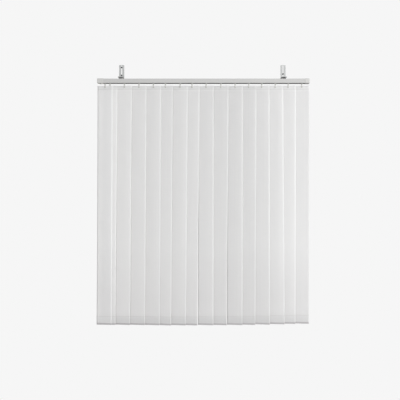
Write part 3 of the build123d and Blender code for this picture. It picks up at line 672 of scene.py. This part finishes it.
@dataclass
class Vane:
    """One vane: its cloth, hanger plate, bottom weight and hook stem."""

    number: int
    stem_x: float
    stem_y: float
    hang: Hang
    top: float                      # Z of the vane's top, in metres
    length_mm: float
    angle: float = -12.0            # degrees about Z from the rail's line
    width_mm: float = 89.0
    cloth_mm: float = 0.4
    pocket_mm: float = 2.2          # between the middles of a pocket's two layers
    top_hem_mm: float = 19.5
    bottom_hem_mm: float = 48.0
    lap_clear_mm: float = 0.05      # between a hem's welded edge and the cloth under it
    held_share: float = 0.12        # of its length at each end, where a hem holds it straight
    ripple_mm: float = 1.1
    ripples_per_metre: tuple[float, float] = (9.0, 2.3)
    ripple_step: float = 0.12       # how little the ripple changes from one vane to the next
    cup_mm: float = 0.9             # how far its long edges curl forward of its middle
    fold_shade_mm: float = 8.0         # painted shade: height of the dark line painted along the bottom fold
    fold_shade_fade_mm: float = 3.0
    foot_darkening_mm: float = 450.0         # how far up from its foot the cloth is darkened
    foot_darkening: float = 0.17              # how much darker it is at the foot, from 0 to 1
    plate_painted_light: float = 0.4         # painted light: how much lighter the cloth is painted over the white plate in the top hem
    plate_fade_mm: float = 10.0
    eye_mm: Triple = (5.0, 5.7, 9.6)        # width, and top and bottom below the vane's top
    weave_shift: float = 0.37       # metres by which the weave moves on from one vane to the next
    columns: int = 18
    row_mm: float = 14.0
    collar: Collar = Collar()

    @property
    def tag(self) -> str:
        """The vane's two-digit number."""
        return f"{self.number:02d}"

    @property
    def node(self) -> str:
        """The CAD node that this vane stands for."""
        return f"vane_{self.tag}"

    @property
    def foot_mm(self) -> float:
        """Height of the cloth's lowest fold from the vane's top."""
        return -(self.length_mm - self.hang.rise_mm)

    def place(self) -> Matrix:
        """From the vane's own axes (X across, Y through, Z up from its top) to the frame."""
        spot = Matrix.Translation((self.stem_x, self.stem_y, self.top))
        return spot @ Matrix.Rotation(math.radians(self.angle), 4, "Z")

    def hung(self, point: Vector) -> Vector:
        """Where a point of the straight, flat vane comes to lie as it hangs.

        Args:
            point: in the vane's own axes, in metres.

        Returns:
            The point, swung, twisted, bowed and rippled, in the same axes.
        """
        length = self.length_mm * MM
        down = min(max(-point.z / length, 0.0), 1.0)
        held = min(1.0, min(down, 1 - down) / self.held_share)
        free = held * held * (3 - 2 * held)
        turn = math.radians(self.hang.twist) * down
        ripple_x, ripple_z = self.ripples_per_metre
        wave = noise.noise(Vector((point.x * ripple_x, point.z * ripple_z, self.number * self.ripple_step)))
        across = point.x / (self.width_mm * MM / 2)
        cup = self.cup_mm * MM * free * across * across
        bow = self.hang.bow_mm * MM * math.sin(math.pi * down)
        through = point.y + free * (self.ripple_mm * MM * wave) + cup + bow
        x = point.x * math.cos(turn) - through * math.sin(turn)
        y = point.x * math.sin(turn) + through * math.cos(turn)
        return Vector((x + self.hang.swing_mm * MM * down, y, point.z))

    def settle(self, bm: Shape) -> None:
        """Hang a shape made in the vane's own axes and put it in its place in the frame.

        Args:
            bm: the shape.
        """
        place = self.place()
        for vert in bm.verts:
            vert.co = place @ self.hung(vert.co)

    def hem_path(self) -> list[Triple]:
        """The cloth's section: from the top hem's edge over the top, down, and up to the bottom hem's edge.

        Returns:
            Y and Z in millimetres and the weld mark, from 0 to 1, of each point.
        """
        half = self.pocket_mm / 2
        low = self.foot_mm
        hem_z, hem_low = -self.top_hem_mm, low + self.bottom_hem_mm
        _, eye_top, eye_foot = self.eye_mm
        path = self.lap(hem_z, 1)
        path += [(half, -eye_foot, 0.0), (half, -eye_top, 0.0)]
        path += self.fold(-half, True)
        path += [(-half, -eye_top, 0.0), (-half, -eye_foot, 0.0)]
        path += self.weld_line(hem_z)
        clear = 3.0
        start, span = hem_z - clear, hem_low - hem_z + 2 * clear
        rows = round(-span / self.row_mm)
        path += [(-half, start + span * i / rows, 0.0) for i in range(rows + 1)]
        path += self.weld_line(hem_low)
        # Rows that bound the painted shade along the bottom fold.
        fold_shade_rows = [1 - (self.fold_shade_mm + self.fold_shade_fade_mm) / self.bottom_hem_mm,
                   1 - self.fold_shade_mm / self.bottom_hem_mm]
        shares = [0.2, 0.4, 0.6, 0.75, *fold_shade_rows]
        path += [(-half, hem_low + (low - hem_low) * share, 0.0) for share in shares]
        path += self.fold(low + half, False)
        path += [(half, hem_low + (low - hem_low) * share, 0.0) for share in reversed(shares)]
        path += reversed(self.lap(hem_low, -1))
        return path

    def lap(self, z_mm: float, inwards: int) -> list[Triple]:
        """A hem's edge, welded flat on the cloth, up to where the pocket stands open.

        Args:
            z_mm: height of the weld.
            inwards: 1 where the pocket is above the weld, -1 where it is below.

        Returns:
            Points as in hem_path, from the edge inwards.
        """
        half = self.pocket_mm / 2
        laid = -half + self.cloth_mm + self.lap_clear_mm
        weld, opened = 1.0 * inwards, 4.0 * inwards
        return [(laid, z_mm - weld, 0.6), (laid, z_mm, 1.0), (laid, z_mm + weld, 0.4),
                (half, z_mm + opened, 0.0)]

    def weld_line(self, z_mm: float) -> list[Triple]:
        """The line that a hem's weld leaves on the front of the cloth.

        Args:
            z_mm: height of the weld.

        Returns:
            Points as in hem_path, from the top down.
        """
        front, weld, faded = -self.pocket_mm / 2, 0.8, 1.6
        return [(front, z_mm + faded, 0.0), (front, z_mm + weld, 0.7), (front, z_mm - weld, 0.7),
                (front, z_mm - faded, 0.0)]

    def fold(self, centre_z: float, over: bool, steps: int = 6) -> list[Triple]:
        """A half turn of cloth round a pocket's end.

        Args:
            centre_z: height of the turn's centre, in millimetres.
            over: True from back to front over the top, False from front to back under the bottom.
            steps: how many points the turn has beyond its first.

        Returns:
            Points as in hem_path.
        """
        half = self.pocket_mm / 2
        turns = [math.pi * i / steps for i in range(steps + 1)]
        sign = 1 if over else -1
        return [(sign * half * math.cos(a), centre_z + sign * half * math.sin(a), 0.0) for a in turns]

    def foot_dark_and_fold_shade_level(self, z_mm: float) -> float:
        """How dark the cloth is at a height: darker towards its foot, and fully dark along the bottom fold,
        as painted shade.

        Args:
            z_mm: height from the vane's top.

        Returns:
            From 0 to 1.
        """
        above, steepness = z_mm - self.foot_mm, 1.5
        # Darker towards the foot.
        foot_darkening = self.foot_darkening * min(max(steepness * (1.0 - above / self.foot_darkening_mm), 0.0), 1.0)
        # Painted shade: a dark line along the bottom fold.
        fold = min(max((self.fold_shade_mm + self.fold_shade_fade_mm - above) / self.fold_shade_fade_mm, 0.0), 1.0)
        return min(foot_darkening + fold, 1.0)

    def painted_light_level(self, z_mm: float) -> float:
        """How much painted light the cloth gets at a height: its vane's share, and more over the white plate
        in the top hem.

        Args:
            z_mm: height from the vane's top.

        Returns:
            From 0 to 1.
        """
        over_plate = min(max(1.0 + (z_mm + self.top_hem_mm) / self.plate_fade_mm, 0.0), 1.0)
        return min(self.hang.tone + self.plate_painted_light * over_plate, 1.0)

    def cloth(self) -> Object:
        """The cloth: one strip with both hems folded back and welded, and the eye cut through the top one.

        Returns:
            The new piece.
        """
        bm = bmesh.new()
        weld = bm.verts.layers.float.new("weld")
        foot_dark_and_fold_shade = bm.verts.layers.float.new("foot_dark_and_fold_shade")
        tone = bm.verts.layers.float.new("tone")
        along = bm.verts.layers.float.new("along")
        half_width = self.width_mm * MM / 2
        previous, travelled = None, 0.0
        for y, z, mark in self.hem_path():
            vert = bm.verts.new((-half_width, y * MM, z * MM))
            vert[weld] = mark
            vert[foot_dark_and_fold_shade] = self.foot_dark_and_fold_shade_level(z)
            vert[tone] = self.painted_light_level(z)
            if previous is not None:
                bm.edges.new((previous, vert))
                travelled += (vert.co - previous.co).length
            vert[along] = travelled
            previous = vert
        step = self.width_mm * MM / self.columns
        bmesh.ops.spin(bm, geom=bm.verts[:] + bm.edges[:], cent=(0, 0, 0), axis=(0, 0, 1), dvec=(step, 0, 0),
                       angle=0.0, steps=self.columns, use_merge=False, use_duplicate=False)
        self.cut_eye(bm)
        uv = bm.loops.layers.uv.new("cloth")
        offset = self.number * self.weave_shift
        for face in bm.faces:
            for loop in face.loops:
                loop[uv].uv = (loop.vert.co.x, loop.vert[along] + offset)
        bmesh.ops.recalc_face_normals(bm, faces=bm.faces)
        self.settle(bm)
        piece = finished(f"cloth_{self.tag}", bm, Finish.CLOTH, 60.0)
        thickness = piece.modifiers.new("thickness", "SOLIDIFY")
        thickness.thickness = self.cloth_mm * MM
        thickness.offset = 0.0
        thickness.use_even_offset = True
        return piece

    def cut_eye(self, bm: Shape) -> None:
        """Open the eye for the hook's peg through both layers of the top hem.

        Args:
            bm: the cloth, still flat.
        """
        half, high, low = self.eye_mm[0] / 2 * MM, -self.eye_mm[1] * MM, -self.eye_mm[2] * MM
        for x in (-half, half):
            bmesh.ops.bisect_plane(bm, geom=bm.verts[:] + bm.edges[:] + bm.faces[:], plane_co=(x, 0, 0),
                                   plane_no=(1, 0, 0), dist=SAME_PLACE)
        inside = []
        for face in bm.faces:
            middle = face.calc_center_median()
            if abs(middle.x) < half and low < middle.z < high:
                inside.append(face)
        bmesh.ops.delete(bm, geom=inside, context="FACES")

    def stem(self, node: Object) -> Object:
        """The gear, shaft, collar and hook, moulded as one, with the edges that show rounded.

        Args:
            node: the CAD node that holds the stem.

        Returns:
            The new piece.
        """
        gear_reach, gear_foot = 20.0 * MM, 12.0 * MM
        bm = solid_of(node, lambda low, high: high > self.top + gear_reach)
        soften(bm, 0.3, self.top + gear_foot)
        self.collar.add(bm, self.stem_x, self.stem_y, self.top)
        return finished(f"hook_stem_{self.tag}", bm, Finish.HOOK)

    def hanger(self, node: Object) -> Object:
        """The stiffener plate in the top hem.

        Args:
            node: the CAD node that holds the plate.

        Returns:
            The new piece.
        """
        plate_reach = 30.0 * MM
        bm = solid_of(node, lambda low, high: self.top - plate_reach < low and high < self.top)
        soften(bm, 0.25, self.top)
        return finished(f"hanger_{self.tag}", bm, Finish.HANGER)

    def weight(self) -> Object:
        """The steel strip in the bottom hem, with rounded corners and edges.

        Returns:
            The new piece.
        """
        width_mm, height_mm, thick_mm, corner_mm = 84.0, 38.0, 1.6, 4.0
        bm = bmesh.new()
        bmesh.ops.create_cube(bm, size=1.0)
        bmesh.ops.scale(bm, vec=(width_mm * MM, thick_mm * MM, height_mm * MM), verts=bm.verts)
        half_thick = thick_mm * MM / 2
        corners_through = [e for e in bm.edges if abs(e.verts[0].co.y - e.verts[1].co.y) > half_thick]
        round_edges(bm, corners_through, corner_mm, segments=6)
        rims = [e for e in bm.edges if abs(e.verts[0].co.y - e.verts[1].co.y) < half_thick]
        round_edges(bm, rims, thick_mm * 0.3)
        seat_mm = self.foot_mm + self.cloth_mm * 1.5
        bmesh.ops.translate(bm, vec=(0, 0, (seat_mm + height_mm / 2) * MM), verts=bm.verts)
        self.settle(bm)
        return finished(f"weight_{self.tag}", bm, Finish.WEIGHT)

    def build(self, node: Object) -> None:
        """Args:
            node: the CAD node that the pieces stand for.
        """
        stem, hanger, weight = self.stem(node), self.hanger(node), self.weight()
        cloth = self.cloth()
        pieces = [cloth, stem, hanger, weight]
        for piece in pieces:
            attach(piece, self.node)
            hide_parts(self.node)
        LOG.info("vane %s: %s", self.tag, ", ".join(piece.name for piece in pieces))


# --------------------------------------------------------------------------------------- hardware
@dataclass
class ScrewThreads:
    """The wall screws with their threads: a spiral ridge on each shank, tapering off at both ends.

    The real pitch is 1.4 mm. It is drawn at 2.4 mm, so that the thread shows from a metre away.
    """

    pitch_mm: float = 2.4
    base_mm: float = 1.5
    root_mm: float = 1.9
    crest_mm: float = 2.6
    from_y_mm: float = 3.0
    to_y_mm: float = 31.0
    steps_per_turn: int = 12
    taper_steps: int = 8
    least_share: float = 0.15       # of its height that the ridge keeps at its very ends

    def ridge(self, bm: Shape, x: float, z: float) -> None:
        """Add one screw's spiral.

        Args:
            bm: the shape that gets the ridge.
            x: the screw's axis, in metres.
            z: the screw's axis, in metres.
        """
        others = set(bm.verts)
        half = self.base_mm / 2
        profile = ((self.root_mm, -half), (self.crest_mm, 0.0), (self.root_mm, half))
        section = [bm.verts.new((x + r * MM, (self.from_y_mm + y) * MM, z)) for r, y in profile]
        sides = [bm.edges.new((section[i - 1], section[i])) for i in range(len(section))]
        turns = (self.to_y_mm - self.from_y_mm) / self.pitch_mm
        steps = round(turns * self.steps_per_turn)
        bmesh.ops.spin(bm, geom=section + sides, cent=(x, 0, z), axis=(0, 1, 0),
                       dvec=(0, self.pitch_mm / self.steps_per_turn * MM, 0),
                       angle=math.tau * steps / self.steps_per_turn, steps=steps,
                       use_merge=False, use_duplicate=False)
        for vert in set(bm.verts) - others:
            radius = math.hypot(vert.co.x - x, vert.co.z - z)
            if radius > (self.root_mm + self.crest_mm) / 2 * MM:
                done = (vert.co.y / MM - self.from_y_mm) / self.pitch_mm * self.steps_per_turn
                grown = min(1.0, done / self.taper_steps, (steps - done) / self.taper_steps)
                height_mm = (self.crest_mm - self.root_mm) * max(self.least_share, grown)
                share = (self.root_mm + height_mm) * MM / radius
                vert.co.x, vert.co.z = x + (vert.co.x - x) * share, z + (vert.co.z - z) * share
        bmesh.ops.holes_fill(bm, edges=[e for e in bm.edges if e.is_boundary], sides=3)

    def build(self, screws: Object) -> None:
        """Make the screws with the threads of all of them as one piece.

        Args:
            screws: the CAD node that holds the wall screws.
        """
        bm = merged_copy(screws)
        solids = islands(bm)
        for x, z in [self.axis(group) for group in solids]:
            self.ridge(bm, x, z)
        bmesh.ops.recalc_face_normals(bm, faces=bm.faces)
        piece = finished("threaded_wall_screws", bm, Finish.SCREW)
        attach(piece, "headrail")
        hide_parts("wall_screws")
        LOG.info("wall screws: %d threads", len(solids))

    @staticmethod
    def axis(group: set[bmesh.types.BMVert]) -> tuple[float, float]:
        """The line that a screw lies on.

        Args:
            group: the screw's vertices.

        Returns:
            X and Z in metres.
        """
        xs, zs = [v.co.x for v in group], [v.co.z for v in group]
        return (min(xs) + max(xs)) / 2, (min(zs) + max(zs)) / 2


@dataclass
class Hardware:
    """The rail, its caps, the wall fixings and the drive: CAD shapes that only need their finishes."""

    finishes: dict[str, Finish] = field(default_factory=lambda: {
        "headrail": Finish.RAIL,
        "control_end_cap": Finish.CAP,
        "plain_end_cap": Finish.CAP,
        "wall_bracket_left": Finish.BRACKET,
        "wall_bracket_right": Finish.BRACKET,
        "rail_clip_left": Finish.CLIP,
        "rail_clip_right": Finish.CLIP,
        "wall_screws": Finish.SCREW,
        "clip_bolts": Finish.BOLT,
        "tilt_rod": Finish.ROD,
        "chain_wheel": Finish.WHEEL,
        "cord_pulley": Finish.WHEEL,
    })

    def build(self, nodes: dict[str, Object]) -> None:
        """Dress the CAD nodes.

        Args:
            nodes: the frame's nodes by name.
        """
        for name, finish in self.finishes.items():
            dress(nodes[name], finish)
            LOG.info("%s in %s", name, finish.value.name)
        runners = [name for name in nodes if name.startswith(("carrier_", "worm_"))]
        for name in runners:
            dress(nodes[name], Finish.CARRIER)
        LOG.info("%d carriers and worms in %s", len(runners), Finish.CARRIER.value.name)


# --------------------------------------------------------------------------------------- studio
@dataclass(frozen=True)
class Lamp:
    """One soft box."""

    name: str
    at: Triple
    size: float
    watts: float
    tint: str = "FFFFFF"


@dataclass
class Studio:
    """Camera, soft lights, pale surroundings and floor."""

    aim: Vector
    camera_distance: float = 5.0
    scale_mm: float = 5.73          # of the object, across one four-hundredth of the picture
    frame_steps: int = 400
    sensor_mm: float = 36.0
    floor_drop: float = 0.75        # below the lowest point of the blind
    floor_radius: float = 1.25
    floor_colour: str = "F2F2F1"
    backdrop: str = "F6F6F6"
    front_glow: float = 0.75
    rear_glow: float = 0.3
    left_share: float = 0.75
    below_share: float = 0.6
    rear_to_front: tuple[float, float] = (0.3, -0.5)        # a direction's Y, from one glow to the other
    left_to_right: tuple[float, float] = (-0.4, 0.4)        # its X, likewise
    below_to_above: tuple[float, float] = (-0.25, 0.1)      # its Z, likewise
    lamps: tuple[Lamp, ...] = (
        Lamp("key", (6.5, -7.5, 1.2), 3.2, 900.0),
        Lamp("rear", (-1.0, 2.4, -0.7), 1.6, 22.0, "FFFAF2"),
    )

    def camera(self) -> None:
        """A level camera square to the wall."""
        data = bpy.data.cameras.new("camera")
        data.sensor_width = self.sensor_mm
        data.lens = self.camera_distance / MM * data.sensor_width / (self.scale_mm * self.frame_steps)
        data.clip_end = 100.0
        camera = bpy.data.objects.new("camera", data)
        camera.location = self.aim - Vector((0, self.camera_distance, 0))
        camera.rotation_euler = (math.radians(90), 0, 0)
        bpy.context.scene.collection.objects.link(camera)
        bpy.context.scene.camera = camera

    def lights(self) -> None:
        """Soft boxes that face the blind and don't show themselves."""
        for lamp in self.lamps:
            data = bpy.data.lights.new(lamp.name, "AREA")
            data.energy, data.size = lamp.watts, lamp.size
            data.color = linear(lamp.tint)[:3]
            light = bpy.data.objects.new(lamp.name, data)
            light.location = Vector(lamp.at)
            light.rotation_mode = "QUATERNION"
            light.rotation_quaternion = (self.aim - Vector(lamp.at)).to_track_quat("-Z", "Y")
            light.visible_camera = False
            bpy.context.scene.collection.objects.link(light)

    def surroundings(self) -> None:
        """A pale surround that shows evenly, and lights the blind mostly from front, right and above."""
        world = bpy.data.worlds.new("surround")
        bpy.context.scene.world = world
        world.use_nodes = True
        tree = world.node_tree
        tree.nodes.clear()
        output = add_node(tree, "OutputWorld")
        path = add_node(tree, "LightPath")
        way = add_node(tree, "TexCoord")
        axes = add_node(tree, "SeparateXYZ", {}, {"Vector": way.outputs["Generated"]})
        glow: Optional[Socket] = None
        for axis, (near, far), low, high in (
            ("Y", self.rear_to_front, self.rear_glow, self.front_glow),
            ("X", self.left_to_right, self.left_share, 1.0),
            ("Z", self.below_to_above, self.below_share, 1.0),
        ):
            share = add_node(tree, "MapRange", {"From Min": near, "From Max": far, "To Min": low,
                                                "To Max": high}, {"Value": axes.outputs[axis]})
            if glow is None:
                glow = share.outputs["Result"]
                continue
            product = add_node(tree, "Math", {}, {0: glow, 1: share.outputs["Result"]}, operation="MULTIPLY")
            glow = product.outputs["Value"]
        seen = add_node(tree, "Background", {"Color": linear(self.backdrop)})
        light = add_node(tree, "Background", {"Color": (1, 1, 1, 1)}, {"Strength": glow})
        mix = add_node(tree, "MixShader", {}, {0: path.outputs["Is Camera Ray"],
                                               1: light.outputs["Background"],
                                               2: seen.outputs["Background"]})
        tree.links.new(mix.outputs["Shader"], output.inputs["Surface"])

    def floor(self, lowest: float) -> None:
        """A pale round floor under the blind.

        Args:
            lowest: Z of the blind's lowest point, in metres.
        """
        bm = bmesh.new()
        bmesh.ops.create_circle(bm, cap_ends=True, radius=self.floor_radius, segments=96)
        bmesh.ops.translate(bm, vec=(self.aim.x, self.aim.y, lowest - self.floor_drop), verts=bm.verts)
        mesh = bpy.data.meshes.new("floor")
        bm.to_mesh(mesh)
        bm.free()
        material, tree, output = empty_material("pale_floor")
        shader = add_node(tree, "BsdfDiffuse", {"Color": linear(self.floor_colour)})
        tree.links.new(shader.outputs["BSDF"], output.inputs["Surface"])
        mesh.materials.append(material)
        floor = bpy.data.objects.new("floor", mesh)
        bpy.context.scene.collection.objects.link(floor)
        floor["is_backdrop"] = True

    def build(self, lowest: float) -> None:
        """Set up everything that isn't the object.

        Args:
            lowest: Z of the blind's lowest point, in metres.
        """
        bpy.context.scene.view_settings.view_transform = "Standard"
        self.camera()
        self.lights()
        self.surroundings()
        self.floor(lowest)
        LOG.info("studio ready, lens %.1f mm", bpy.context.scene.camera.data.lens)


def stem_axis(record: dict, number: int) -> tuple[float, float]:
    """X and Y of a vane's hook stem, from its tilt joint.

    Args:
        record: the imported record.
        number: the vane's number.

    Returns:
        X and Y in metres.
    """
    joints = {j["name"]: j for j in record["behaviour"]["joints"]}
    x, y, _ = joints[f"vane_tilt_{number:02d}"]["pos_m"]
    return x, y


def main() -> None:
    """Build the blind round its frame."""
    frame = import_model()
    cad_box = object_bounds()
    nodes, record = frame["nodes"], frame["record"]
    Studio(aim=Vector(CAMERA_AIM)).build(cad_box[0].z)
    Hardware().build(nodes)
    ScrewThreads().build(nodes["wall_screws"])
    vane_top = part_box("headrail")[0].z - VANE_BELOW_RAIL_MM * MM
    vane_length_mm = (vane_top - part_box("vane_01")[0].z) / MM
    for number, hang in enumerate(HANGS, start=1):
        x, y = stem_axis(record, number)
        Vane(number, x, y, hang, vane_top, vane_length_mm).build(nodes[f"vane_{number:02d}"])


if __name__ == "__main__":
    logging.basicConfig(level=logging.INFO, format="%(message)s")
    main()
